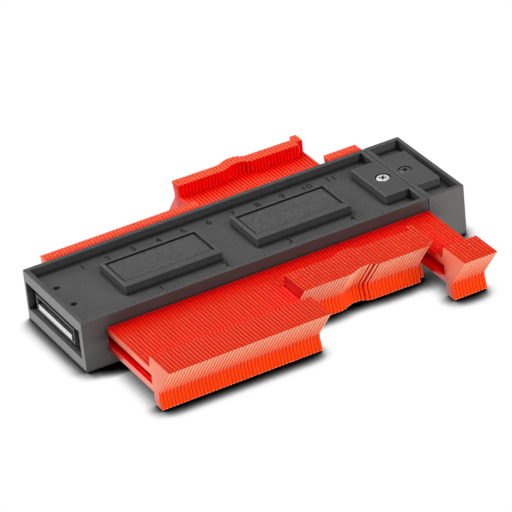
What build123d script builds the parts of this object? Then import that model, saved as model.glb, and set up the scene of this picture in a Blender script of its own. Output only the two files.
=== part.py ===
"""Contour gauge: a stack of thin sliding leaves held in a long flat housing.

The housing is a U-shaped moulding, closed at its right end by a screwed cap. A flat steel bar runs
through the slot of every leaf, and a rubber strip on the bar gives the leaves their friction.
Millimetres, +Z up, long side along X, pointed leaf tips towards -Y.
The origin is the centre of the housing's underside.
"""

import os

from build123d import *

os.makedirs("parts", exist_ok=True)

# Housing and cap
body_length = 152.0
body_width = 45.0
body_height = 19.5
cap_length = 14.8
left_block_length = 9.4
corner_radius = 0.4
outer_chamfer = 0.15

# Trays in the top and the underside, with raised pads
tray_depth = 3.75
side_rim = 1.8
left_rim = 2.0
seam_rim = 1.7
cap_seam_rim = 1.9
right_rim = 1.4
pad_width = 19.5
pad_length = 38.1
pad_1_start = 23.5
pad_2_start = 75.3
screw_pad_width = 24.4
screw_pad_length = 11.2
cap_pad_length = 11.1
pad_chamfer = 0.2

# Sunken name panel on each long pad, with a groove round it
panel_length = 35.6
panel_width = 15.3
panel_shift = 0.8
panel_sink = 0.25
groove_width = 0.7
groove_depth = 0.9

# Leaves
leaf_thickness = 1.30
leaf_gap = 0.045
leaf_height = 18.9
head_gap = 77.0
web_height = 9.35
slot_height = 3.75
slot_inset = 0.5
tip_reach = 13.9
foot_width = 5.3
foot_chamfer = 0.3
waist_width = 3.75
waist_height = 5.8
waist_chamfer = 1.0
shoulder_lean = 1.35
stop_gap = 0.2
slide_clearance = 0.05

# Steel bar and friction strip inside the slots
bar_width = 25.4
bar_thickness = 2.0
bar_shift = 0.35
bar_setback = 0.4
bar_grip = 11.0
strip_width = 22.0
fit_gap = 0.05

# Window in the left end
recess_depth = 2.8
recess_width = 40.8
recess_height = 11.0
recess_shift = 0.7
boss_setback = 0.6
boss_width = 29.1
boss_height = 6.2
boss_lift = 0.2
window_width = 27.3
window_height = 4.4
window_depth = 4.5

# Pins that lock the bar in the left block
pin_diameter = 2.5
pin_from_end = 6.5
pin_distance = 13.2
pin_shift = 3.4
pin_sunk = 2.0

# Cap tongues, screws and threaded inserts
tongue_length = 8.8
tongue_thickness = 2.1
tongue_width = 20.8
tongue_gap = 0.1
tongue_lift = 0.1
shank_diameter = 3.0
head_height = 1.5
head_sink = 0.2
tongue_head_diameter = 4.9
tongue_recess_diameter = 5.8
tongue_screw_from_seam = 4.8
cap_head_diameter = 4.4
cap_recess_diameter = 5.0
cap_screw_from_seam = 4.4
insert_diameter = 4.4
insert_below_bar = 0.5
cross_length = 2.7
cross_width = 0.75
cross_depth = 0.9

# Shape set on the gauge: how far each leaf is pushed back, by its distance from the left end
middle_start = 71.3
middle_end = 123.6
middle_push = 18.2
middle_fall = 0.9
ridge_rise = 2.2
ridge_rise_start = 89.0
ridge_rise_length = 6.5
ridge_drop = 1.9
ridge_drop_start = 97.5
ridge_drop_length = 4.0
last_step = 2.4
last_step_leaves = 2
leaves_per_group = 2
largest_step = 2.0

# Places worked out from the sizes
left_x = -body_length / 2
right_x = body_length / 2
seam_x = right_x - cap_length
passage_x = left_x + left_block_length
passage_length = seam_x - passage_x
mid_z = body_height / 2
floor_z = body_height - tray_depth
web_top = web_height / 2
passage_top = web_top + slide_clearance
leaf_pitch = leaf_thickness + leaf_gap
leaf_count = int(passage_length / leaf_pitch)
half_travel = (head_gap - body_width) / 2 - stop_gap
bar_bottom = mid_z - slot_height / 2 + slide_clearance
bar_top = bar_bottom + bar_thickness
strip_top = mid_z + slot_height / 2 - slide_clearance
bar_start = left_x + bar_setback
bar_end = seam_x + bar_grip
pin_x = left_x + pin_from_end
tongue_screw_x = seam_x - tongue_screw_from_seam
cap_screw_x = seam_x + cap_screw_from_seam
head_seat = body_height - head_sink - head_height
tongue_bottom = mid_z + passage_top + tongue_lift
tongue_top = tongue_bottom + tongue_thickness
pocket_top = tongue_top + tongue_gap
insert_bottom = tray_depth + fit_gap
cap_insert_height = bar_bottom - insert_below_bar - insert_bottom


def smooth(share):
    """Ease from 0 to 1 as share goes from 0 to 1."""
    limited = min(max(share, 0.0), 1.0)
    return limited * limited * (3 - 2 * limited)


def push_back(distance):
    """How far a leaf at this distance from the left end is pushed back."""
    if not middle_start < distance < middle_end:
        return 0.0
    fall = middle_fall * (distance - middle_start) / (middle_end - middle_start)
    rise = ridge_rise * smooth((distance - ridge_rise_start) / ridge_rise_length)
    drop = ridge_drop * smooth((distance - ridge_drop_start) / ridge_drop_length)
    step = last_step if distance > middle_end - last_step_leaves * leaf_pitch else 0.0
    return middle_push - fall + rise - drop + step


def save(part, name):
    """Label a finished piece and write its file."""
    part.label = name
    export_step(part, f"parts/{name}.step")


# Housing: a U-shaped block, open at its right end for the leaves
with BuildPart() as housing:
    with BuildSketch(Plane.XY):
        with Locations(((left_x + seam_x) / 2, 0)):
            Rectangle(seam_x - left_x, body_width)
    extrude(amount=body_height)
    fillet(housing.edges().filter_by(Axis.Z).group_by(Axis.X)[0], corner_radius)
    chamfer(housing.edges().group_by(Axis.Z)[-1], outer_chamfer)
    chamfer(housing.edges().group_by(Axis.Z)[0], outer_chamfer)
    # Trays, top and bottom, round the pads
    with BuildSketch(Plane.XY.offset(floor_z)) as tray:
        with Locations(((left_x + left_rim + seam_x - seam_rim) / 2, 0)):
            Rectangle(seam_x - seam_rim - left_x - left_rim, body_width - 2 * side_rim)
        for start in (pad_1_start, pad_2_start):
            with Locations((left_x + start + pad_length / 2, 0)):
                Rectangle(pad_length, pad_width, mode=Mode.SUBTRACT)
        with Locations((seam_x - screw_pad_length / 2, 0)):
            Rectangle(screw_pad_length, screw_pad_width, mode=Mode.SUBTRACT)
    extrude(amount=tray_depth, mode=Mode.SUBTRACT)
    with BuildSketch(Plane.XY):
        add(tray.sketch.moved(Location((0, 0, -floor_z))))
    extrude(amount=tray_depth, mode=Mode.SUBTRACT)
    # Edges of the pads and of the rim's inside
    inner_x = right_x - cap_length - 2 * outer_chamfer
    for level in (-1, 0):
        tray_edges = housing.edges().group_by(Axis.Z)[level].filter_by(
            lambda edge: abs(edge.center().Y) < body_width / 2 - 2 * outer_chamfer
            and left_x + 2 * outer_chamfer < edge.center().X < inner_x
            and edge.length < seam_x - left_x - 4 * outer_chamfer
        )
        chamfer(tray_edges, pad_chamfer)
    # Panels on the two long pads
    for start in (pad_1_start, pad_2_start):
        panel_x = left_x + start + pad_length / 2
        with BuildSketch(Plane.XY.offset(body_height)):
            with Locations((panel_x, panel_shift)):
                Rectangle(panel_length, panel_width)
        extrude(amount=-panel_sink, mode=Mode.SUBTRACT)
        with BuildSketch(Plane.XY.offset(body_height)):
            with Locations((panel_x, panel_shift)):
                Rectangle(panel_length, panel_width)
                Rectangle(
                    panel_length - 2 * groove_width, panel_width - 2 * groove_width, mode=Mode.SUBTRACT
                )
        extrude(amount=-groove_depth, mode=Mode.SUBTRACT)
    # Passage of the leaves
    with BuildSketch(Plane.YZ.offset(passage_x)):
        with Locations((0, mid_z)):
            Rectangle(body_width, 2 * passage_top)
    extrude(amount=passage_length, mode=Mode.SUBTRACT)
    # Pockets of the cap's tongues
    pocket_height = pocket_top - mid_z
    with BuildSketch(Plane.YZ.offset(seam_x)):
        with Locations((0, mid_z)):
            Rectangle(tongue_width + 2 * tongue_gap, 2 * pocket_height)
    extrude(amount=-(tongue_length + tongue_gap), mode=Mode.SUBTRACT)
    # Window in the left end, with the boss round the end of the bar
    with BuildSketch(Plane.YZ.offset(left_x)):
        with Locations((recess_shift, mid_z)):
            Rectangle(recess_width, recess_height)
    extrude(amount=recess_depth, mode=Mode.SUBTRACT)
    with BuildSketch(Plane.YZ.offset(left_x + boss_setback)):
        with Locations((bar_shift, mid_z + boss_lift)):
            Rectangle(boss_width, boss_height)
    extrude(amount=recess_depth - boss_setback)
    window_z = bar_bottom - fit_gap + window_height / 2
    with BuildSketch(Plane.YZ.offset(left_x)):
        with Locations((bar_shift, window_z)):
            Rectangle(window_width, window_height)
    extrude(amount=window_depth, mode=Mode.SUBTRACT)
    with BuildSketch(Plane.YZ.offset(left_x)):
        with Locations((bar_shift, mid_z)):
            Rectangle(bar_width + 2 * fit_gap, slot_height)
    extrude(amount=left_block_length, mode=Mode.SUBTRACT)
    # Holes for the pins, down into the lower plate
    with Locations(Plane.XY.offset(floor_z)):
        with Locations((pin_x, pin_shift)):
            with GridLocations(0, pin_distance, 1, 2):
                Hole(pin_diameter / 2 + fit_gap, floor_z - tray_depth - fit_gap)
    # Seat of the screw that holds the upper tongue of the cap
    with Locations((tongue_screw_x, bar_shift, body_height)):
        CounterBoreHole(
            shank_diameter / 2 + fit_gap,
            tongue_recess_diameter / 2,
            head_sink + head_height,
            body_height - mid_z,
        )
save(housing.part, "housing")

# End cap: closes the passage, with a tongue above and below the leaves
with BuildPart() as end_cap:
    with BuildSketch(Plane.XY):
        with Locations(((seam_x + right_x) / 2, 0)):
            Rectangle(cap_length, body_width)
    extrude(amount=body_height)
    fillet(end_cap.edges().filter_by(Axis.Z).group_by(Axis.X)[-1], corner_radius)
    chamfer(end_cap.edges().group_by(Axis.Z)[-1], outer_chamfer)
    chamfer(end_cap.edges().group_by(Axis.Z)[0], outer_chamfer)
    # Trays, top and bottom, round the pad that carries on from the housing
    with BuildSketch(Plane.XY.offset(floor_z)) as cap_tray:
        with Locations(((seam_x + cap_seam_rim + right_x - right_rim) / 2, 0)):
            Rectangle(cap_length - cap_seam_rim - right_rim, body_width - 2 * side_rim)
        with Locations((seam_x + cap_pad_length / 2, 0)):
            Rectangle(cap_pad_length, screw_pad_width, mode=Mode.SUBTRACT)
    extrude(amount=tray_depth, mode=Mode.SUBTRACT)
    with BuildSketch(Plane.XY):
        add(cap_tray.sketch.moved(Location((0, 0, -floor_z))))
    extrude(amount=tray_depth, mode=Mode.SUBTRACT)
    for level in (-1, 0):
        cap_tray_edges = end_cap.edges().group_by(Axis.Z)[level].filter_by(
            lambda edge: abs(edge.center().Y) < body_width / 2 - 2 * outer_chamfer
            and seam_x + 2 * outer_chamfer < edge.center().X < right_x - 2 * outer_chamfer
            and edge.length < cap_length - 2 * outer_chamfer
        )
        chamfer(cap_tray_edges, pad_chamfer)
    # Tongues that reach into the pockets of the housing
    with BuildSketch(Plane.YZ.offset(seam_x)):
        for side in (-1, 1):
            with Locations((0, mid_z + side * ((tongue_bottom + tongue_top) / 2 - mid_z))):
                Rectangle(tongue_width, tongue_thickness)
    extrude(amount=-tongue_length)
    # Slot for the end of the bar, and the holes of both screws
    with BuildSketch(Plane.YZ.offset(seam_x)):
        with Locations((bar_shift, (bar_bottom + bar_top) / 2)):
            Rectangle(bar_width + 2 * fit_gap, bar_thickness + 2 * fit_gap)
    extrude(amount=bar_grip + fit_gap, mode=Mode.SUBTRACT)
    with Locations((tongue_screw_x, bar_shift, tongue_top)):
        Hole(insert_diameter / 2, tongue_thickness)
    with Locations((cap_screw_x, bar_shift, body_height)):
        CounterBoreHole(
            shank_diameter / 2 + fit_gap,
            cap_recess_diameter / 2,
            head_sink + head_height,
            body_height - insert_bottom,
        )
    with Locations((cap_screw_x, bar_shift, insert_bottom + cap_insert_height)):
        Hole(insert_diameter / 2, cap_insert_height)
save(end_cap.part, "end_cap")

# Steel bar through the slots of all the leaves
with BuildPart() as center_bar:
    with BuildSketch(Plane.XY.offset(bar_bottom)):
        with Locations(((bar_start + bar_end) / 2, bar_shift)):
            Rectangle(bar_end - bar_start, bar_width)
        with Locations((pin_x, pin_shift)):
            with GridLocations(0, pin_distance, 1, 2):
                Circle(pin_diameter / 2 + fit_gap, mode=Mode.SUBTRACT)
        with Locations((cap_screw_x, bar_shift)):
            Circle(shank_diameter / 2 + fit_gap, mode=Mode.SUBTRACT)
    extrude(amount=bar_thickness)
save(center_bar.part, "center_bar")

# Rubber strip on the bar, which presses the leaves up
with BuildPart() as friction_strip:
    with BuildSketch(Plane.XY.offset(bar_top)):
        with Locations(((passage_x + seam_x) / 2, bar_shift)):
            Rectangle(passage_length - 2 * fit_gap, strip_width)
    extrude(amount=strip_top - bar_top)
save(friction_strip.part, "friction_strip")

# Pins through the left block and the bar
with BuildPart() as bar_pins:
    with BuildSketch(Plane.XY.offset(insert_bottom)):
        with Locations((pin_x, pin_shift)):
            with GridLocations(0, pin_distance, 1, 2):
                Circle(pin_diameter / 2)
    extrude(amount=floor_z - pin_sunk - insert_bottom)
save(bar_pins.part, "bar_pins")


def make_screw(place_x, head_diameter, tip_z):
    """Pan-head screw with a cross recess, from its seat down to tip_z."""
    with BuildPart() as screw:
        with BuildSketch(Plane.XY.offset(head_seat)):
            with Locations((place_x, bar_shift)):
                Circle(head_diameter / 2)
        extrude(amount=head_height)
        chamfer(screw.edges().group_by(Axis.Z)[-1], outer_chamfer)
        with BuildSketch(Plane.XY.offset(head_seat)):
            with Locations((place_x, bar_shift)):
                Circle(shank_diameter / 2)
        extrude(amount=tip_z - head_seat)
        with BuildSketch(Plane.XY.offset(head_seat + head_height)):
            with Locations((place_x, bar_shift)):
                Rectangle(cross_length, cross_width)
                Rectangle(cross_width, cross_length)
        extrude(amount=-cross_depth, mode=Mode.SUBTRACT)
    return screw.part


def make_insert(place_x, bottom_z, height):
    """Brass insert that takes the shank of a screw."""
    with BuildPart() as insert:
        with BuildSketch(Plane.XY.offset(bottom_z)):
            with Locations((place_x, bar_shift)):
                Circle(insert_diameter / 2)
                Circle(shank_diameter / 2 + fit_gap, mode=Mode.SUBTRACT)
        extrude(amount=height)
    return insert.part


save(make_screw(tongue_screw_x, tongue_head_diameter, tongue_bottom + fit_gap), "tongue_screw")
save(make_screw(cap_screw_x, cap_head_diameter, insert_bottom + fit_gap), "cap_screw")
save(make_insert(tongue_screw_x, tongue_bottom, tongue_thickness), "tongue_insert")
save(make_insert(cap_screw_x, insert_bottom, cap_insert_height), "cap_insert")

# One leaf, drawn about its own centre: the back head is the front head after half a turn
head_face = head_gap / 2
head_top = leaf_height / 2
front_head = [
    (-head_face, -web_top),
    (-head_face, -head_top),
    (-head_face - foot_width, -head_top),
    (-head_face - waist_width, waist_height - head_top),
    (-head_face - tip_reach, head_top),
    (-head_face, head_top),
]
back_head = [(-y, -z) for y, z in front_head]
shoulder_foot = (shoulder_lean - head_face, web_top)
with BuildPart() as leaf:
    with BuildSketch(Plane.YZ) as outline:
        with BuildLine():
            Polyline(*front_head, shoulder_foot, *back_head, (head_face, -web_top), close=True)
        make_face()
        # Waists above the feet, then the outer corners of the feet
        corners = outline.vertices().group_by(Axis.X)
        chamfer(corners[2] + corners[-3], waist_chamfer)
        corners = outline.vertices().filter_by(lambda corner: abs(corner.Y) > head_top - fit_gap)
        corners = corners.sort_by(lambda corner: abs(abs(corner.X) - head_face - foot_width))
        chamfer(corners[:2], foot_chamfer)
        Rectangle(2 * (head_face - slot_inset), slot_height, mode=Mode.SUBTRACT)
    extrude(amount=leaf_thickness)

# Neighbouring leaves that stand level move as one piece, in twos
leaf_groups = []
for index in range(leaf_count):
    leaf_start = leaf_gap / 2 + index * leaf_pitch
    push = push_back(left_block_length + leaf_start + leaf_thickness / 2)
    place = (passage_x + leaf_start, push - half_travel, mid_z)
    last_group = leaf_groups[-1] if leaf_groups else []
    if 0 < len(last_group) < leaves_per_group and abs(place[1] - last_group[-1][1]) < largest_step:
        last_group.append(place)
    else:
        leaf_groups.append([place])

for number, places in enumerate(leaf_groups, start=1):
    with BuildPart() as leaves:
        with Locations(*places):
            add(leaf.part)
    save(leaves.part, f"leaves_{number:02d}")
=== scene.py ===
"""Looks of a contour gauge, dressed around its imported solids.

A long dark moulded housing, closed by a screwed end cap, holds a stack of thin orange-red leaves on
a flat steel bar. Metres, +Z up, long side along X, pointed leaf tips towards -Y.
"""

import logging
import math
from collections.abc import Callable
from dataclasses import dataclass, field
from enum import Enum

import bmesh
import bpy
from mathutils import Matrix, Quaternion, Vector


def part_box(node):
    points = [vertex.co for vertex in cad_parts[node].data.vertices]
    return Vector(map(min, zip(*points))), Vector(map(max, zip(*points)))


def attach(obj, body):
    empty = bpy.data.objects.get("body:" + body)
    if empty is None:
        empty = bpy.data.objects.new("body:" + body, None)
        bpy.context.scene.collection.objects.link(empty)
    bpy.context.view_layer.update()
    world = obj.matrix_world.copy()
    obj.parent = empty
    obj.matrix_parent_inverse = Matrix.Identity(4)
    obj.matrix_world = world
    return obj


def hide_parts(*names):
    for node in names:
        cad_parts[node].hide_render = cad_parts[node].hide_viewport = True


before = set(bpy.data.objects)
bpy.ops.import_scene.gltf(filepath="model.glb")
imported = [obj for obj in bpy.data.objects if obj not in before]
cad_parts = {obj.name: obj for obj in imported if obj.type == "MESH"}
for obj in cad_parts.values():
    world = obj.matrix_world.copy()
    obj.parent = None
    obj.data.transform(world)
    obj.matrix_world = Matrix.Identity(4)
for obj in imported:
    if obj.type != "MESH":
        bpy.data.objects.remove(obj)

log = logging.getLogger("contour_gauge")

MM = 0.001
CENTIMETRE = 10 * MM
INCH = 0.0254
FIXED_BODY = "frame"
LEAF_PREFIX = "leaves_"
SQUARE = 0.9  # A face looks along an axis when its normal reaches this far that way
OPENNESS_SAMPLES = 8

Triple = tuple[float, float, float]
Colour = Triple
Range = tuple[float, float]


class Ray(Enum):
    """Kinds of light ray that the studio can tell apart."""

    CAMERA = "Is Camera Ray"
    GLOSSY = "Is Glossy Ray"


class Value:
    """A shader socket that carries a number and takes part in Python expressions."""

    def __init__(self, nodes: "Nodes", socket: bpy.types.NodeSocket) -> None:
        """Wrap a socket.

        Args:
            nodes: The node tree that the socket belongs to.
            socket: The output socket to wrap.
        """
        self.nodes = nodes
        self.socket = socket

    def _with(self, operation: str, first: "Value | float", second: "Value | float" = 0.0) -> "Value":
        """Add one Math node.

        Args:
            operation: The Math node's operation.
            first: Its first number or Value.
            second: Its second number or Value.

        Returns:
            The node's result.
        """
        return self.nodes.number("ShaderNodeMath", {"operation": operation}, {0: first, 1: second})

    def __add__(self, other: "Value | float") -> "Value":
        """Sum of both."""
        return self._with("ADD", self, other)

    __radd__ = __add__

    def __sub__(self, other: "Value | float") -> "Value":
        """This value less the other."""
        return self._with("SUBTRACT", self, other)

    def __rsub__(self, other: "Value | float") -> "Value":
        """The other value less this one."""
        return self._with("SUBTRACT", other, self)

    def __mul__(self, other: "Value | float") -> "Value":
        """Product of both."""
        return self._with("MULTIPLY", self, other)

    __rmul__ = __mul__

    def __truediv__(self, other: "Value | float") -> "Value":
        """This value over the other."""
        return self._with("DIVIDE", self, other)

    def __pow__(self, other: "Value | float") -> "Value":
        """This value to a power."""
        return self._with("POWER", self, other)

    def __neg__(self) -> "Value":
        """This value with the other sign."""
        return 0.0 - self

    def __abs__(self) -> "Value":
        """This value without its sign."""
        return self._with("ABSOLUTE", self)

    def floor(self) -> "Value":
        """Whole number below this value."""
        return self._with("FLOOR", self)

    def at_least(self, other: "Value | float") -> "Value":
        """The larger of both."""
        return self._with("MAXIMUM", self, other)

    def limited(self) -> "Value":
        """This value kept between 0 and 1."""
        return self._with("MINIMUM", self.at_least(0.0), 1.0)

    def ramp(self, start: float, end: float) -> "Value":
        """Go from 0 where this value is at start to 1 where it is at end."""
        return ((self - start) / (end - start)).limited()


class Nodes:
    """Node tree of a material or of the world."""

    def __init__(self, tree: bpy.types.NodeTree) -> None:
        """Take up a tree."""
        self.tree = tree

    def node(self, kind: str, settings: dict, inputs: dict) -> bpy.types.Node:
        """Add a node.

        Args:
            kind: The node's type.
            settings: Properties that are set first, by name.
            inputs: Numbers, colours, sockets or Values, by socket name or index.

        Returns:
            The new node.
        """
        made = self.tree.nodes.new(kind)
        for name, value in settings.items():
            setattr(made, name, value)
        for name, value in inputs.items():
            self.feed(made.inputs[name], value)
        return made

    def feed(self, socket: bpy.types.NodeSocket, value: object) -> None:
        """Link or set an input socket.

        Args:
            socket: The input socket.
            value: A number, colour, socket or Value.
        """
        source = value.socket if isinstance(value, Value) else value
        if isinstance(source, bpy.types.NodeSocket):
            self.tree.links.new(source, socket)
        elif socket.type == "RGBA":
            socket.default_value = (*source, 1.0)
        else:
            socket.default_value = source

    def number(self, kind: str, settings: dict, inputs: dict, output: str | int = 0) -> Value:
        """Add a node and wrap one of its outputs, with the arguments of node and the output's name."""
        return Value(self, self.node(kind, settings, inputs).outputs[output])

    def hit_by(self, ray: Ray) -> Value:
        """Whether the surface is seen by this kind of ray, 0 or 1."""
        return self.number("ShaderNodeLightPath", {}, {}, ray.value)


@dataclass(frozen=True)
class Layer:
    """One layer of noise in a finish.

    Attributes:
        size: Size of one blotch, in metres.
        detail: Number of finer layers in it.
        tone: How strongly it changes the colour.
        roughness: How strongly it changes the roughness.
        stretch: Factors along X, Y and Z.
    """

    size: float
    detail: float
    tone: float
    roughness: float
    stretch: Triple = (1.0, 1.0, 1.0)


class Shader(Nodes):
    """Node tree of one material, with a Principled BSDF at its end."""

    def __init__(self, name: str) -> None:
        """Start a material.

        Args:
            name: The material's name.
        """
        self.material = bpy.data.materials.new(name)
        self.material.use_nodes = True
        super().__init__(self.material.node_tree)

    def place(self, stretch: Triple = (1.0, 1.0, 1.0)) -> bpy.types.NodeSocket:
        """Object coordinates, with factors along X, Y and Z."""
        where = self.node("ShaderNodeTexCoord", {}, {}).outputs["Object"]
        return self.node("ShaderNodeMapping", {}, {"Vector": where, "Scale": stretch}).outputs[0]

    def along(self, axis: str) -> Value:
        """One of the object coordinates, X, Y or Z."""
        return self.number("ShaderNodeSeparateXYZ", {}, {0: self.place()}, axis)

    def facing(self, axis: str) -> Value:
        """How squarely the surface faces along X, Y or Z, from -1 to 1."""
        normal = self.node("ShaderNodeTexCoord", {}, {}).outputs["Normal"]
        return self.number("ShaderNodeSeparateXYZ", {}, {0: normal}, axis)

    def noise(self, layer: Layer) -> Value:
        """Soft noise of one layer, from about -0.5 to 0.5."""
        inputs = {"Vector": self.place(layer.stretch), "Scale": 1.0 / layer.size, "Detail": layer.detail}
        return self.number("ShaderNodeTexNoise", {}, inputs) - 0.5

    def openness(self, reach: float, inside: bool = False) -> Value:
        """Share of the space about a point that is free.

        Args:
            reach: Distance that is looked at, in metres.
            inside: Look into the solid, where edges are freer, and not out of it.

        Returns:
            A value from 0 to 1.
        """
        settings = {"samples": OPENNESS_SAMPLES, "inside": inside}
        return self.number("ShaderNodeAmbientOcclusion", settings, {"Distance": reach}, "AO")

    def mix(self, share: object, first: object, second: object) -> bpy.types.NodeSocket:
        """Blend two colours.

        Args:
            share: Number or Value, 0 for the first colour and 1 for the second.
            first: The first colour, or a socket that carries one.
            second: The second colour, or a socket that carries one.

        Returns:
            The blended colour.
        """
        made = self.node("ShaderNodeMix", {"data_type": "RGBA"}, {"Factor": share})
        for name, colour in (("A", first), ("B", second)):
            self.feed(next(s for s in made.inputs if s.name == name and s.type == "RGBA"), colour)
        return next(s for s in made.outputs if s.type == "RGBA")

    def bump(self, height: Value, depth: float) -> bpy.types.NodeSocket:
        """Normal of a surface with this height, in shares of a depth in metres."""
        return self.node("ShaderNodeBump", {}, {"Height": height, "Distance": depth}).outputs[0]

    def finish(self, **inputs: object) -> bpy.types.Material:
        """Feed the surface.

        Args:
            inputs: What goes into each socket, named with underscores for spaces.

        Returns:
            The finished material.
        """
        surface = self.tree.nodes["Principled BSDF"]
        for name, value in inputs.items():
            self.feed(surface.inputs[name.replace("_", " ")], value)
        return self.material


@dataclass(frozen=True)
class GrainedPlastic:
    """Dark moulded plastic with a fine spark-eroded grain, coarser on the sunk panels.

    Painted shade darkens its narrow grooves, inner corners, the walls that face along X and the
    sides over the leaves. Its edges are painted paler, part wear from handling and part painted
    highlight. Both ends, and a little the cap's sides, are painted pale with a painted reflection of
    the bright floor.
    """

    name: str = "housing_plastic"
    dark: Colour = (0.060, 0.060, 0.061)
    light: Colour = (0.102, 0.102, 0.103)
    even_tone: float = 0.5
    grain: Layer = Layer(0.5 * MM, 2.0, 2.0, 0.10)
    blotch: Layer = Layer(7.0 * MM, 4.0, 0.6, 0.08)
    coarse: Layer = Layer(0.9 * MM, 3.0, 2.4, 0.25)
    grain_depth: float = 0.02 * MM
    coarse_height: float = 2.0
    panel_below_top: float = 0.25 * MM
    panel_reach: float = 0.04 * MM
    # Painted shade: the colour that grooves, inner corners, walls facing along X and the sides over the
    # leaves are darkened towards
    dirt: Colour = (0.014, 0.014, 0.014)
    dirt_reach: float = 1.8 * MM
    dirt_range: Range = (0.92, 0.50)
    soil_reach: float = 10.0 * MM
    soil_range: Range = (0.97, 0.75)
    soil_heights: Range = (10.0 * MM, 11.0 * MM)
    soil_share: float = 0.45
    wall_share: float = 0.30
    # Edges painted paler: part wear, part painted highlight
    worn: Colour = (0.20, 0.20, 0.20)
    worn_reach: float = 0.2 * MM
    worn_range: Range = (0.95, 0.45)
    # Painted reflection: the pale colour of both ends and, a little, the cap's sides, where the bright
    # floor is reflected
    scuffed: Colour = (0.23, 0.23, 0.23)
    scuff_even: float = 0.8
    scuff_grain: float = 1.2
    end_range: Range = (75.4 * MM, 75.8 * MM)
    cap_range: Range = (61.15 * MM, 61.25 * MM)
    cap_share: float = 0.5
    facing_range: Range = (0.90, 0.99)
    roughness: float = 0.44
    index: float = 1.33
    shine: float = 0.5

    def build(self) -> bpy.types.Material:
        """Make the material.

        Returns:
            The material.
        """
        shader = Shader(self.name)
        grain = shader.noise(self.grain)
        blotch = shader.noise(self.blotch)
        panel_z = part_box("housing")[1].z - self.panel_below_top
        on_panel = abs(shader.along("Z") - panel_z).ramp(2 * self.panel_reach, self.panel_reach)
        coarse = on_panel * shader.noise(self.coarse)
        # Mask of the edges, painted paler as part wear and part painted highlight
        worn = shader.openness(self.worn_reach, inside=True).ramp(*self.worn_range)
        at_end = abs(shader.along("X")).ramp(*self.end_range)
        wall = abs(shader.facing("X")).ramp(*self.facing_range)
        side = abs(shader.facing("Y")).ramp(*self.facing_range)
        cap_side = side * shader.along("X").ramp(*self.cap_range)
        # Painted reflection of the bright floor on both ends and, at part strength, on the cap's sides
        scuffed = at_end * wall + self.cap_share * cap_side
        scuffed = scuffed * (self.scuff_even + self.scuff_grain * grain)
        # Painted shade on the sides over the leaves, where the leaves keep light off
        side_shade = side * shader.along("Z").ramp(*self.soil_heights)
        side_shade = side_shade * shader.openness(self.soil_reach).ramp(*self.soil_range)
        # Painted shade in narrow grooves and inner corners, added to the side shade and to painted shade
        # on the walls that face along X
        painted_shade_share = shader.openness(self.dirt_reach).ramp(*self.dirt_range)
        painted_shade_share = painted_shade_share + self.soil_share * side_shade + self.wall_share * wall * (1 - at_end)
        tone = self.even_tone + self.grain.tone * grain + self.blotch.tone * blotch
        roughness = self.roughness + self.grain.roughness * grain + self.blotch.roughness * blotch
        colour = shader.mix(tone + self.coarse.tone * coarse, self.dark, self.light)
        colour = shader.mix(scuffed, colour, self.scuffed)
        colour = shader.mix(painted_shade_share, colour, self.dirt)
        return shader.finish(
            Base_Color=shader.mix(worn, colour, self.worn),
            Roughness=roughness + self.coarse.roughness * coarse,
            Normal=shader.bump(grain + self.coarse_height * coarse, self.grain_depth),
            IOR=self.index,
            Specular_IOR_Level=self.shine,
        )


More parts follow.
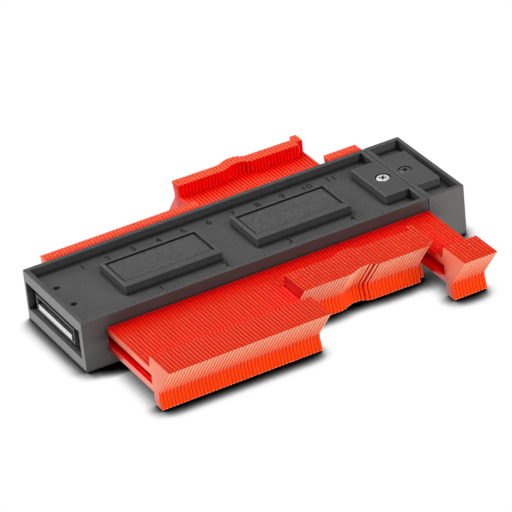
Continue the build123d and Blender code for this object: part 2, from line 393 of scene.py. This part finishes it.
@dataclass(frozen=True)
class LeafPlastic:
    """Orange-red plastic of the leaves, a little different from leaf to leaf.

    Painted shade makes it a deep red in occluded places, between two leaves and on broad sides that a
    neighbour covers, and a painted highlight runs near each leaf's edges. Its front-facing tip faces are
    painted a lit orange, and the outer sides of the stack and the slopes under the tips are painted
    pale with a painted reflection of the bright floor. The upward faces of the back ends are paler.
    """

    name: str = "leaf_plastic"
    # Painted shade: the deep saturated red of occluded places
    guarded: Colour = (0.95, 0.002, 0.002)
    # Painted shade: the dark red line between two leaves
    gap: Colour = (0.36, 0.003, 0.001)
    deep: Colour = (0.56, 0.006, 0.001)
    bright: Colour = (0.66, 0.020, 0.001)
    # Painted light: the brighter orange of front-facing tip faces, where the front light falls
    tip: Colour = (1.00, 0.056, 0.001)
    # Painted reflection: the pale peach of the open broad sides of the first and last leaves, where the
    # bright floor is reflected
    rubbed: Colour = (0.88, 0.22, 0.13)
    # Painted shade: the dark red of broad sides that a neighbour keeps from the light
    covered: Colour = (0.60, 0.001, 0.001)
    # Painted reflection: the pale peach of the slopes under the tips, where the bright floor is reflected
    scraped: Colour = (1.00, 0.38, 0.18)
    # Paler colour of the upward faces of the back ends
    handled: Colour = (0.88, 0.12, 0.05)
    # Painted highlight: a paler line near each leaf's edges, standing for the gleam on its rounding
    edge: Colour = (0.80, 0.10, 0.025)
    even_tone: float = 0.35
    own_tone: float = 0.4
    own_roughness: float = 0.08
    streak: Layer = Layer(0.5 * MM, 3.0, 0.5, 0.12, (1.0, 0.06, 1.0))
    streak_depth: float = 0.01 * MM
    guard_reach: float = 18.0 * MM
    guard_range: Range = (0.76, 1.00)
    side_guard_range: Range = (0.56, 0.70)
    side_range: Range = (0.80, 0.98)
    first_leaf: Range = (-65.8 * MM, -66.2 * MM)
    last_leaves: Range = (45.0 * MM, 46.0 * MM)
    slope_range: Range = (0.3, 0.6)
    tip_range: Range = (26.0 * MM, 30.0 * MM)
    back_range: Range = (23.0 * MM, 25.0 * MM)
    level_range: Range = (0.85, 0.95)
    stack_start: float = -66.6 * MM
    pitch: float = 1.345 * MM
    middle: float = 0.5
    gap_range: Range = (0.34, 0.46)
    edge_place: float = 0.27
    edge_reach: float = 0.10
    roughness: float = 0.16
    index: float = 1.45
    shine_tint: Colour = (1.0, 0.3, 0.1)

    def build(self) -> bpy.types.Material:
        """Make the material.

        Returns:
            The material.
        """
        shader = Shader(self.name)
        count = (shader.along("X") - self.stack_start) / self.pitch
        number = count.floor()
        own = shader.number("ShaderNodeTexWhiteNoise", {"noise_dimensions": "1D"}, {"W": number})
        streak = shader.noise(self.streak)
        off_middle = abs(count - number - self.middle)
        # Painted shade along each boundary between two leaves
        gap = off_middle.ramp(*self.gap_range)
        # Painted highlight near each leaf's edges
        edge = (1 - abs(off_middle - self.edge_place) / self.edge_reach).limited()
        clear = shader.openness(self.guard_reach)
        # Front-facing tip faces, painted a lit orange
        tip = (-shader.facing("Y")).ramp(*self.slope_range) * (-shader.along("Y")).ramp(*self.tip_range)
        # Slopes under the tips, painted with a pale reflection of the floor
        under = tip * (-shader.facing("Z")).ramp(*self.slope_range)
        handled = shader.facing("Z").ramp(*self.level_range) * shader.along("Y").ramp(*self.back_range)
        side = abs(shader.facing("X")).ramp(*self.side_range)
        outer = shader.along("X").ramp(*self.first_leaf) + shader.along("X").ramp(*self.last_leaves)
        # Open broad sides of the outer leaves, painted with a pale reflection of the floor
        rubbed = outer * clear.ramp(*self.side_guard_range)
        tone = self.even_tone + self.own_tone * own + self.streak.tone * streak
        colour = shader.mix(tone, self.deep, self.bright)
        colour = shader.mix(handled, colour, self.handled)
        colour = shader.mix(edge, colour, self.edge)
        colour = shader.mix(gap, colour, self.gap)
        # Painted shade: occluded places turn the deep saturated red
        colour = shader.mix(clear.ramp(*self.guard_range), self.guarded, colour)
        # Broad sides get the painted shade where covered and the painted reflection where open
        colour = shader.mix(side, colour, shader.mix(rubbed, self.covered, self.rubbed))
        colour = shader.mix(tip, colour, self.tip)
        return shader.finish(
            # Painted reflection of the floor on the slopes under the tips
            Base_Color=shader.mix(under, colour, self.scraped),
            Roughness=self.roughness + self.own_roughness * own + self.streak.roughness * streak,
            Normal=shader.bump(streak, self.streak_depth),
            IOR=self.index,
            Specular_Tint=self.shine_tint,
        )


@dataclass(frozen=True)
class Metal:
    """A plain metal with fine scratches along its length."""

    name: str
    dark: Colour
    light: Colour
    roughness: float
    metallic: float = 1.0
    even_tone: float = 0.5
    scratch: Layer = Layer(0.12 * MM, 2.0, 1.2, 0.2, (0.03, 1.0, 1.0))
    scratch_depth: float = 0.004 * MM

    def build(self) -> bpy.types.Material:
        """Make the material.

        Returns:
            The material.
        """
        shader = Shader(self.name)
        scratch = shader.noise(self.scratch)
        tone = self.even_tone + self.scratch.tone * scratch
        return shader.finish(
            Base_Color=shader.mix(tone, self.dark, self.light),
            Metallic=self.metallic,
            Roughness=self.roughness + self.scratch.roughness * scratch,
            Normal=shader.bump(scratch, self.scratch_depth),
        )


class Bench:
    """Modelling steps that several sub-assemblies share."""

    weld: float = 0.001 * MM
    flat_angle: float = 0.5

    @staticmethod
    def alone(piece: bpy.types.Object) -> None:
        """Select one object and nothing else, and make it active.

        Args:
            piece: The object.
        """
        bpy.ops.object.select_all(action="DESELECT")
        piece.select_set(True)
        bpy.context.view_layer.objects.active = piece

    @staticmethod
    def copy_of(node: str, name: str) -> bpy.types.Object:
        """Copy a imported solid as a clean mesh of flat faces.

        Args:
            node: The solid's name.
            name: The copy's name.

        Returns:
            The copy, which isn't tied to the solid any more.
        """
        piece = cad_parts[node].copy()
        piece.data = piece.data.copy()
        piece.name = name
        for key in list(piece.keys()):
            del piece[key]
        piece.parent = None
        bpy.context.scene.collection.objects.link(piece)
        Bench.alone(piece)
        bpy.ops.mesh.customdata_custom_splitnormals_clear()
        bpy.ops.object.mode_set(mode="EDIT")
        bpy.ops.mesh.select_all(action="SELECT")
        bpy.ops.mesh.remove_doubles(threshold=Bench.weld)
        bpy.ops.mesh.dissolve_limited(angle_limit=math.radians(Bench.flat_angle))
        bpy.ops.object.mode_set(mode="OBJECT")
        return piece

    @staticmethod
    def pick(piece: bpy.types.Object, test: Callable[[bmesh.types.BMFace], bool]) -> None:
        """Select some faces of a piece in edit mode, and nothing else.

        Args:
            piece: The piece.
            test: Whether a face is selected.
        """
        bpy.ops.mesh.select_mode(type="FACE")
        bpy.ops.mesh.select_all(action="DESELECT")
        mesh = bmesh.from_edit_mesh(piece.data)
        for face in mesh.faces:
            face.select_set(test(face))
        bmesh.update_edit_mesh(piece.data)

    @staticmethod
    def settle() -> None:
        """Put the place, turn and scale of what is selected into its mesh."""
        bpy.ops.object.transform_apply(location=True, rotation=True, scale=True)

    @staticmethod
    def apply_all(piece: bpy.types.Object) -> None:
        """Apply every modifier of a piece, in order.

        Args:
            piece: The piece.
        """
        Bench.alone(piece)
        for name in [modifier.name for modifier in piece.modifiers]:
            bpy.ops.object.modifier_apply(modifier=name)

    @staticmethod
    def combine(piece: bpy.types.Object, other: bpy.types.Object, operation: str) -> None:
        """Join a piece with another or cut the other out of it, and remove the other.

        Args:
            piece: The piece that is kept.
            other: The piece that goes.
            operation: UNION or DIFFERENCE.
        """
        boolean = piece.modifiers.new("boolean", "BOOLEAN")
        boolean.operation = operation
        boolean.object = other
        Bench.apply_all(piece)
        bpy.data.objects.remove(other)

    @staticmethod
    def soften(piece: bpy.types.Object, width: float, segments: int, angle: float = 30.0) -> None:
        """Round the edges of a piece and shade it smooth.

        Args:
            piece: The piece.
            width: Width of the rounding, in metres.
            segments: Number of faces across it.
            angle: Edges sharper than this, in degrees, are rounded.
        """
        bevel = piece.modifiers.new("edges", "BEVEL")
        bevel.width = width
        bevel.segments = segments
        bevel.limit_method = "ANGLE"
        bevel.angle_limit = math.radians(angle)
        Bench.apply_all(piece)
        bpy.ops.object.shade_smooth_by_angle(angle=math.radians(angle))
        normals = piece.modifiers.new("normals", "WEIGHTED_NORMAL")
        normals.keep_sharp = True
        Bench.apply_all(piece)

    @staticmethod
    def dress(piece: bpy.types.Object, material: bpy.types.Material) -> None:
        """Give a piece one material."""
        piece.data.materials.clear()
        piece.data.materials.append(material)


@dataclass
class Leaves:
    """The stack of leaves, each with the rounded long edges of a thin moulding."""

    edge_width: float = 0.29 * MM
    edge_segments: int = 3
    sharp_angle: float = 60.0
    smooth_angle: float = 35.0
    plastic: LeafPlastic = LeafPlastic()

    def round_long_edges(self, piece: bpy.types.Object) -> None:
        """Round the edges round both broad sides, and leave those across the thickness.

        Args:
            piece: Copy of one node of leaves.
        """
        Bench.alone(piece)
        bpy.ops.object.mode_set(mode="EDIT")
        bpy.ops.mesh.select_mode(type="EDGE")
        bpy.ops.mesh.select_all(action="DESELECT")
        bpy.ops.mesh.edges_select_sharp(sharpness=math.radians(self.sharp_angle))
        mesh = bmesh.from_edit_mesh(piece.data)
        for edge in mesh.edges:
            if abs(edge.verts[0].co.x - edge.verts[1].co.x) > self.edge_width:
                edge.select_set(False)
        bmesh.update_edit_mesh(piece.data)
        bpy.ops.mesh.bevel(offset=self.edge_width, segments=self.edge_segments, affect="EDGES")
        bpy.ops.object.mode_set(mode="OBJECT")
        bpy.ops.object.shade_smooth_by_angle(angle=math.radians(self.smooth_angle))

    def build(self) -> None:
        """Replace each node of leaves with moulded ones."""
        material = self.plastic.build()
        for node in sorted(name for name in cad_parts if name.startswith(LEAF_PREFIX)):
            piece = Bench.copy_of(node, f"{node}_moulded")
            self.round_long_edges(piece)
            Bench.dress(piece, material)
            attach(piece, node)
            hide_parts(node)
            log.info("%s done", piece.name)


@dataclass
class Mouldings:
    """Housing and end cap, with the small radii that a mould leaves on every edge."""

    edge_width: float = 0.1 * MM
    edge_segments: int = 2
    panel_sink: float = 0.25 * MM
    groove_more: float = 0.45 * MM
    cap_length: float = 14.8 * MM
    seam_width: float = 0.35 * MM
    tolerance_share: float = 0.1
    plastic: GrainedPlastic = GrainedPlastic()

    def is_panel(self, face: bmesh.types.BMFace, levels: Range) -> bool:
        """Tell the name panels, on the underside and the top, from other faces.

        Args:
            face: A face of the housing.
            levels: Heights of the panels on the underside and the top.

        Returns:
            Whether it is a panel.
        """
        level = levels[1] if face.normal.z > 0 else levels[0]
        off_level = abs(face.calc_center_median().z - level)
        return abs(face.normal.z) > SQUARE and off_level < self.tolerance_share * self.panel_sink

    def is_seam(self, face: bmesh.types.BMFace, seam_x: float) -> bool:
        """Tell the faces of the cap at the seam from its other faces.

        Args:
            face: A face of the end cap.
            seam_x: Where the cap meets the housing.

        Returns:
            Whether it is at the seam.
        """
        off_seam = abs(face.calc_center_median().x - seam_x)
        return face.normal.x < -SQUARE and off_seam < self.tolerance_share * self.seam_width

    def shrink(self, face: bmesh.types.BMFace) -> Triple:
        """Work out how much smaller a panel becomes.

        Args:
            face: The panel.

        Returns:
            Factors along X, Y and Z.
        """
        shares = []
        for axis in (0, 1):
            places = [corner.co[axis] for corner in face.verts]
            shares.append(1 - 2 * self.groove_more / (max(places) - min(places)))
        return (*shares, 1.0)

    def widen_grooves(self, piece: bpy.types.Object) -> None:
        """Widen the grooves round the name panels, whose sides then lean as in a mould.

        Args:
            piece: Copy of the housing.
        """
        low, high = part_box("housing")
        levels = (low.z + self.panel_sink, high.z - self.panel_sink)
        Bench.alone(piece)
        bpy.ops.object.mode_set(mode="EDIT")
        mesh = bmesh.from_edit_mesh(piece.data)
        panels = {face.index: self.shrink(face) for face in mesh.faces if self.is_panel(face, levels)}
        for panel, shares in panels.items():
            Bench.pick(piece, lambda face, panel=panel: face.index == panel)
            bpy.ops.transform.resize(value=shares)
        bpy.ops.object.mode_set(mode="OBJECT")

    def open_seam(self, piece: bpy.types.Object) -> None:
        """Set the face of the cap that meets the housing back by the width of the seam.

        Args:
            piece: Copy of the end cap.
        """
        seam_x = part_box("end_cap")[1].x - self.cap_length
        Bench.alone(piece)
        bpy.ops.object.mode_set(mode="EDIT")
        Bench.pick(piece, lambda face: self.is_seam(face, seam_x))
        bpy.ops.transform.translate(value=(self.seam_width, 0, 0))
        bpy.ops.object.mode_set(mode="OBJECT")

    def build(self) -> None:
        """Replace both nodes with softened copies."""
        material = self.plastic.build()
        for node, change in (("housing", self.widen_grooves), ("end_cap", self.open_seam)):
            piece = Bench.copy_of(node, f"{node}_moulded")
            change(piece)
            Bench.soften(piece, self.edge_width, self.edge_segments)
            Bench.dress(piece, material)
            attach(piece, FIXED_BODY)
            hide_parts(node)
            log.info("%s done", piece.name)


@dataclass
class Hardware:
    """Bar, pins, inserts and strip inside the housing."""

    bar_edge: float = 0.3 * MM
    bar_segments: int = 3
    steel: Metal = Metal("bar_steel", (0.55, 0.55, 0.56), (0.85, 0.85, 0.85), 0.32)
    pin: Metal = Metal("pin_steel", (0.30, 0.30, 0.30), (0.45, 0.45, 0.45), 0.50)
    brass: Metal = Metal("insert_brass", (0.52, 0.36, 0.14), (0.72, 0.54, 0.26), 0.34)
    rubber: GrainedPlastic = GrainedPlastic("strip_rubber", roughness=0.75)

    def build(self) -> None:
        """Give each solid its finish, and the bar its rolled edges."""
        brass = self.brass.build()
        finishes = {
            "bar_pins": self.pin.build(),
            "tongue_insert": brass,
            "cap_insert": brass,
            "friction_strip": self.rubber.build(),
        }
        for node, material in finishes.items():
            Bench.dress(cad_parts[node], material)
            log.info("%s done", node)
        bar = Bench.copy_of("center_bar", "center_bar_rolled")
        Bench.soften(bar, self.bar_edge, self.bar_segments)
        Bench.dress(bar, self.steel.build())
        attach(bar, FIXED_BODY)
        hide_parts("center_bar")
        log.info("%s done", bar.name)


@dataclass
class Screws:
    """Two pan-head screws with a cross recess."""

    head_height: float = 1.5 * MM
    shank_width: float = 3.0 * MM
    sides: int = 48
    dome: float = 0.4 * MM
    dome_segments: int = 4
    smooth_angle: float = 35.0
    cross_length: float = 2.9 * MM
    cross_width: float = 0.8 * MM
    cross_depth: float = 1.4 * MM
    cross_turn: float = -31.0
    cross_taper: float = 0.85
    recess_start: float = 0.1 * MM
    zinc: Metal = Metal("screw_zinc", (0.76, 0.76, 0.75), (0.92, 0.92, 0.91), 0.35, 0.4)
    black: Metal = Metal("screw_black", (0.09, 0.09, 0.09), (0.17, 0.17, 0.17), 0.38, 0.3)
    # Painted shade: a near-black material for the faces of the cross recess
    hollow: Metal = Metal("screw_recess_shade", (0.020, 0.020, 0.020), (0.040, 0.040, 0.040), 0.7, 0.0)
    materials: dict[str, bpy.types.Material] = field(default_factory=dict)

    def cutter(self, middle: Vector) -> bpy.types.Object:
        """Make the tapered cross that leaves the recess.

        Args:
            middle: Middle of the top of the head.

        Returns:
            The cross, from above the head down to the bottom of the recess.
        """
        arms = []
        for size in ((self.cross_length, self.cross_width), (self.cross_width, self.cross_length)):
            bpy.ops.object.select_all(action="DESELECT")
            bpy.ops.mesh.primitive_cube_add(size=1.0, location=middle)
            arm = bpy.context.object
            arm.scale = (*size, 2 * self.cross_depth)
            arm.rotation_euler.z = math.radians(self.cross_turn)
            Bench.settle()
            bpy.ops.object.mode_set(mode="EDIT")
            Bench.pick(arm, lambda face: face.normal.z < -SQUARE)
            bpy.ops.transform.resize(value=(self.cross_taper, self.cross_taper, 1.0))
            bpy.ops.object.mode_set(mode="OBJECT")
            arms.append(arm)
        Bench.combine(arms[0], arms[1], "UNION")
        return arms[0]

    def in_recess(self, face: bmesh.types.BMFace, middle: Vector) -> bool:
        """Tell the faces of the recess from the others of a screw.

        Args:
            face: A face of the screw.
            middle: Middle of the top of its head.

        Returns:
            Whether it is in the recess.
        """
        offset = face.calc_center_median() - middle
        near = math.hypot(offset.x, offset.y) < self.cross_length / 2
        return near and -self.head_height < offset.z < -self.recess_start

    def darken_recess(self, piece: bpy.types.Object, middle: Vector) -> None:
        """Part the faces of the recess from a screw and give them a near-black painted shade.

        Args:
            piece: The screw.
            middle: Middle of the top of its head.
        """
        Bench.alone(piece)
        bpy.ops.object.mode_set(mode="EDIT")
        Bench.pick(piece, lambda face: self.in_recess(face, middle))
        bpy.ops.mesh.separate(type="SELECTED")
        bpy.ops.object.mode_set(mode="OBJECT")
        recess = next(found for found in bpy.context.selected_objects if found is not piece)
        recess.name = f"{piece.name}_recess"
        # Painted shade on the recess faces
        Bench.dress(recess, self.materials["screw_recess_shade"])
        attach(recess, FIXED_BODY)
        log.info("%s done", recess.name)

    def screw(self, node: str, slot: str) -> None:
        """Replace one screw.

        Args:
            node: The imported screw's name, whose place and widths are kept.
            slot: Its material slot.
        """
        low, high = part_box(node)
        middle = Vector(((low.x + high.x) / 2, (low.y + high.y) / 2, high.z))
        radius = (high.x - low.x) / 2
        seat = middle - Vector((0, 0, self.head_height / 2))
        bpy.ops.object.select_all(action="DESELECT")
        bpy.ops.mesh.primitive_cylinder_add(
            vertices=self.sides, radius=radius, depth=self.head_height, location=seat
        )
        piece = bpy.context.object
        Bench.settle()
        bpy.ops.object.mode_set(mode="EDIT")
        Bench.pick(piece, lambda face: face.normal.z > SQUARE)
        bpy.ops.mesh.bevel(offset=self.dome, segments=self.dome_segments, affect="EDGES")
        Bench.pick(piece, lambda face: face.normal.z < -SQUARE)
        bpy.ops.mesh.inset(thickness=radius - self.shank_width / 2)
        shank = Vector((0, 0, low.z - (high.z - self.head_height)))
        bpy.ops.mesh.extrude_region_move(TRANSFORM_OT_translate={"value": shank})
        bpy.ops.object.mode_set(mode="OBJECT")
        Bench.combine(piece, self.cutter(middle), "DIFFERENCE")
        bpy.ops.object.shade_smooth_by_angle(angle=math.radians(self.smooth_angle))
        piece.name = f"{node}_turned"
        Bench.dress(piece, self.materials[slot])
        self.darken_recess(piece, middle)
        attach(piece, FIXED_BODY)
        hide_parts(node)
        log.info("%s done", piece.name)

    def build(self) -> None:
        """Make both screws."""
        for metal in (self.zinc, self.black, self.hollow):
            self.materials[metal.name] = metal.build()
        self.screw("tongue_screw", "screw_zinc")
        self.screw("cap_screw", "screw_black")


@dataclass
class Rulers:
    """Numbers of both rulers on the floor of the tray, and the inch marks along the front rim."""

    tray_depth: float = 3.75 * MM
    letter_depth: float = 0.12 * MM
    letter_swell: float = 0.05 * MM
    cm_zero: float = -65.95 * MM
    cm_row: float = 16.5 * MM
    cm_height: float = 3.2 * MM
    cm_last: int = 12
    inch_zero: float = -65.6 * MM
    inch_row: float = -12.7 * MM
    inch_height: float = 3.0 * MM
    inch_last: int = 4
    figure_share: float = 0.72
    mark_zero: float = -64.4 * MM
    mark_step: float = INCH / 8
    mark_count: int = 39
    mark_width: float = 0.4 * MM
    mark_length: float = 0.6 * MM
    mark_depth: float = 0.02 * MM
    mark_taper: float = 0.9
    mark_from_front: float = 1.3 * MM
    # Painted shade: the figures and marks are darker than the housing, standing for the shade on moulded
    # figures
    ink: GrainedPlastic = GrainedPlastic(
        "number_plastic",
        dark=(0.018, 0.018, 0.018),
        light=(0.028, 0.028, 0.028),
        worn=(0.023, 0.023, 0.023),
        roughness=0.7,
        shine=0.15,
    )

    def number(self, text: str, place: Vector, height: float) -> bpy.types.Object:
        """Make one number as a mesh.

        Args:
            text: Its figures.
            place: Middle of the number, on the surface that it stands on.
            height: Height of its figures, in metres.

        Returns:
            The number, with its place in its mesh.
        """
        bpy.ops.object.select_all(action="DESELECT")
        bpy.ops.object.text_add(location=place)
        made = bpy.context.object
        made.data.body = text
        made.data.size = height / self.figure_share
        made.data.align_x = "CENTER"
        made.data.align_y = "CENTER"
        made.data.extrude = self.letter_depth
        made.data.offset = self.letter_swell
        Bench.alone(made)
        bpy.ops.object.convert(target="MESH")
        Bench.settle()
        return made

    def join(self, parts: list[bpy.types.Object], name: str, material: bpy.types.Material) -> None:
        """Join parts into one piece on the housing.

        Args:
            parts: What is joined.
            name: The piece's name.
            material: Its finish.
        """
        Bench.alone(parts[0])
        for part in parts:
            part.select_set(True)
        bpy.ops.object.join()
        piece = bpy.context.object
        piece.name = name
        Bench.dress(piece, material)
        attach(piece, FIXED_BODY)
        log.info("%s done", name)

    def row(self, last: int, zero: float, step: float, y: float, height: float) -> list[bpy.types.Object]:
        """Make one ruler's numbers, from 1 up.

        Args:
            last: The last number.
            zero: Where 0 would be, along X.
            step: Distance between two numbers.
            y: Middle of the row, along Y.
            height: Height of the figures.

        Returns:
            The numbers.
        """
        floor_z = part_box("housing")[1].z - self.tray_depth
        return [
            self.number(str(count), Vector((zero + count * step, y, floor_z)), height)
            for count in range(1, last + 1)
        ]

    def marks(self) -> bpy.types.Object:
        """Make the marks, one for each eighth of an inch.

        Returns:
            The row of marks.
        """
        low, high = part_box("housing")
        place = Vector((self.mark_zero, low.y + self.mark_from_front, high.z))
        bpy.ops.object.select_all(action="DESELECT")
        bpy.ops.mesh.primitive_cube_add(size=1.0, location=place)
        mark = bpy.context.object
        mark.scale = (self.mark_width, self.mark_length, 2 * self.mark_depth)
        Bench.settle()
        bpy.ops.object.mode_set(mode="EDIT")
        Bench.pick(mark, lambda face: face.normal.z > SQUARE)
        bpy.ops.transform.resize(value=(self.mark_taper, self.mark_taper, 1.0))
        bpy.ops.object.mode_set(mode="OBJECT")
        row = mark.modifiers.new("row", "ARRAY")
        row.count = self.mark_count
        row.use_relative_offset = False
        row.use_constant_offset = True
        row.constant_offset_displace = (self.mark_step, 0, 0)
        Bench.apply_all(mark)
        return mark

    def build(self) -> None:
        """Make both rows of numbers and the row of marks."""
        material = self.ink.build()
        centimetres = self.row(self.cm_last, self.cm_zero, CENTIMETRE, self.cm_row, self.cm_height)
        self.join(centimetres, "centimetre_numbers", material)
        inches = self.row(self.inch_last, self.inch_zero, INCH, self.inch_row, self.inch_height)
        self.join(inches, "inch_numbers", material)
        self.join([self.marks()], "inch_marks", material)


@dataclass(frozen=True)
class Lamp:
    """One square lamp that faces the object.

    Attributes:
        name: The lamp's name.
        place: Its place, in metres.
        size: Length of its side, in metres.
        power: Its power, in watts.
    """

    name: str
    place: Triple
    size: float
    power: float

    def hang(self) -> None:
        """Hang the lamp at its place."""
        data = bpy.data.lights.new(self.name, "AREA")
        data.size = self.size
        data.energy = self.power
        lamp = bpy.data.objects.new(self.name, data)
        lamp.location = self.place
        lamp.rotation_mode = "QUATERNION"
        lamp.rotation_quaternion = (-Vector(self.place)).to_track_quat("-Z", "Y")
        bpy.context.scene.collection.objects.link(lamp)


@dataclass
class Studio:
    """Camera, floor and lights."""

    camera_place: Triple = (-0.482524, -0.985616, 0.649945)
    target: Triple = (-0.001009, -0.008309, 0.012)
    roll: float = -5.98
    lens: float = 255.04
    sensor: float = 36.0
    nearest: float = 0.05
    farthest: float = 20.0
    floor_size: float = 8.0
    floor_z: float = -0.05 * MM
    paper_colour: Colour = (0.9, 0.9, 0.9)
    white: Colour = (1.0, 1.0, 1.0)
    shadow: Colour = (0.0, 0.0, 0.0)
    shadow_samples: int = 16
    shadow_reach: float = 8.5 * MM
    shadow_tilt: Triple = (0.27, 0.66, 0.70)
    shadow_range: Range = (0.43, 0.88)
    shadow_edge: float = 2.2
    # Both ends of the sky are equal, and the fade between them stays: renders differ without it
    sky_front: float = 0.15
    sky_back: float = 0.15
    lamps: tuple[Lamp, ...] = (
        Lamp("top_lamp", (-0.45, 0.50, 1.10), 0.5, 7.2),
        Lamp("front_lamp", (-0.10, -0.95, 0.80), 0.6, 6.4),
        Lamp("edge_lamp", (0.30, -0.42, 0.42), 0.25, 1.4),
        Lamp("left_lamp", (-0.62, 0.85, 0.45), 0.9, 9.0),
    )

    def camera(self) -> None:
        """Set the camera where the photograph was taken from."""
        data = bpy.data.cameras.new("camera")
        data.lens = self.lens
        data.sensor_width = self.sensor
        data.clip_start = self.nearest
        data.clip_end = self.farthest
        camera = bpy.data.objects.new("camera", data)
        bpy.context.scene.collection.objects.link(camera)
        sight = (Vector(self.target) - Vector(self.camera_place)).to_track_quat("-Z", "Y")
        camera.rotation_mode = "QUATERNION"
        camera.rotation_quaternion = sight @ Quaternion((0, 0, 1), math.radians(self.roll))
        camera.location = self.camera_place
        bpy.context.scene.camera = camera

    def paper(self) -> bpy.types.Material:
        """Make the white paper, which keeps a short dark shadow where the object stands on it.

        Returns:
            The paper's material.
        """
        shader = Shader("floor_paper")
        tilt = shader.node("ShaderNodeCombineXYZ", {}, dict(zip("XYZ", self.shadow_tilt))).outputs[0]
        near = {"Distance": self.shadow_reach, "Normal": tilt}
        samples = {"samples": self.shadow_samples}
        free = shader.number("ShaderNodeAmbientOcclusion", samples, near, "AO")
        light = free.ramp(*self.shadow_range) ** self.shadow_edge
        shaded = shader.mix(light, self.shadow, self.white)
        seen = shader.node("ShaderNodeEmission", {}, {"Color": shaded})
        mirrored = shader.node("ShaderNodeEmission", {}, {"Color": self.white})
        surface = shader.node("ShaderNodeBsdfDiffuse", {}, {"Color": self.paper_colour})
        for ray, other in ((Ray.GLOSSY, mirrored), (Ray.CAMERA, seen)):
            inputs = {0: shader.hit_by(ray), 1: surface.outputs[0], 2: other.outputs[0]}
            surface = shader.node("ShaderNodeMixShader", {}, inputs)
        shader.feed(shader.tree.nodes["Material Output"].inputs["Surface"], surface.outputs[0])
        return shader.material

    def floor(self) -> None:
        """Lay the white floor."""
        bpy.ops.object.select_all(action="DESELECT")
        bpy.ops.mesh.primitive_plane_add(size=self.floor_size, location=(0, 0, self.floor_z))
        floor = bpy.context.object
        floor.name = "floor"
        Bench.dress(floor, self.paper())

    def sky(self) -> None:
        """Light the studio evenly, with a plain white behind the object."""
        world = bpy.data.worlds.new("studio")
        world.use_nodes = True
        nodes = Nodes(world.node_tree)
        where = nodes.node("ShaderNodeTexCoord", {}, {}).outputs["Generated"]
        back = nodes.number("ShaderNodeSeparateXYZ", {}, {0: where}, "Y")
        ends = {"Value": back, "To Min": self.sky_front, "To Max": self.sky_back}
        strength = nodes.number("ShaderNodeMapRange", {}, ends).at_least(nodes.hit_by(Ray.CAMERA))
        background = nodes.tree.nodes["Background"]
        nodes.feed(background.inputs["Color"], self.white)
        nodes.feed(background.inputs["Strength"], strength)
        bpy.context.scene.world = world

    def build(self) -> None:
        """Set up the camera, the floor, the world and the lamps."""
        self.camera()
        self.floor()
        self.sky()
        for lamp in self.lamps:
            lamp.hang()
        bpy.context.scene.view_settings.view_transform = "Standard"
        log.info("studio done")


def main() -> None:
    """Dress the gauge and set up the picture."""
    logging.basicConfig(level=logging.INFO, format="%(name)s: %(message)s")
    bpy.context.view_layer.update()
    Studio().build()
    Mouldings().build()
    Hardware().build()
    Screws().build()
    Leaves().build()
    Rulers().build()


if __name__ == "__main__":
    main()
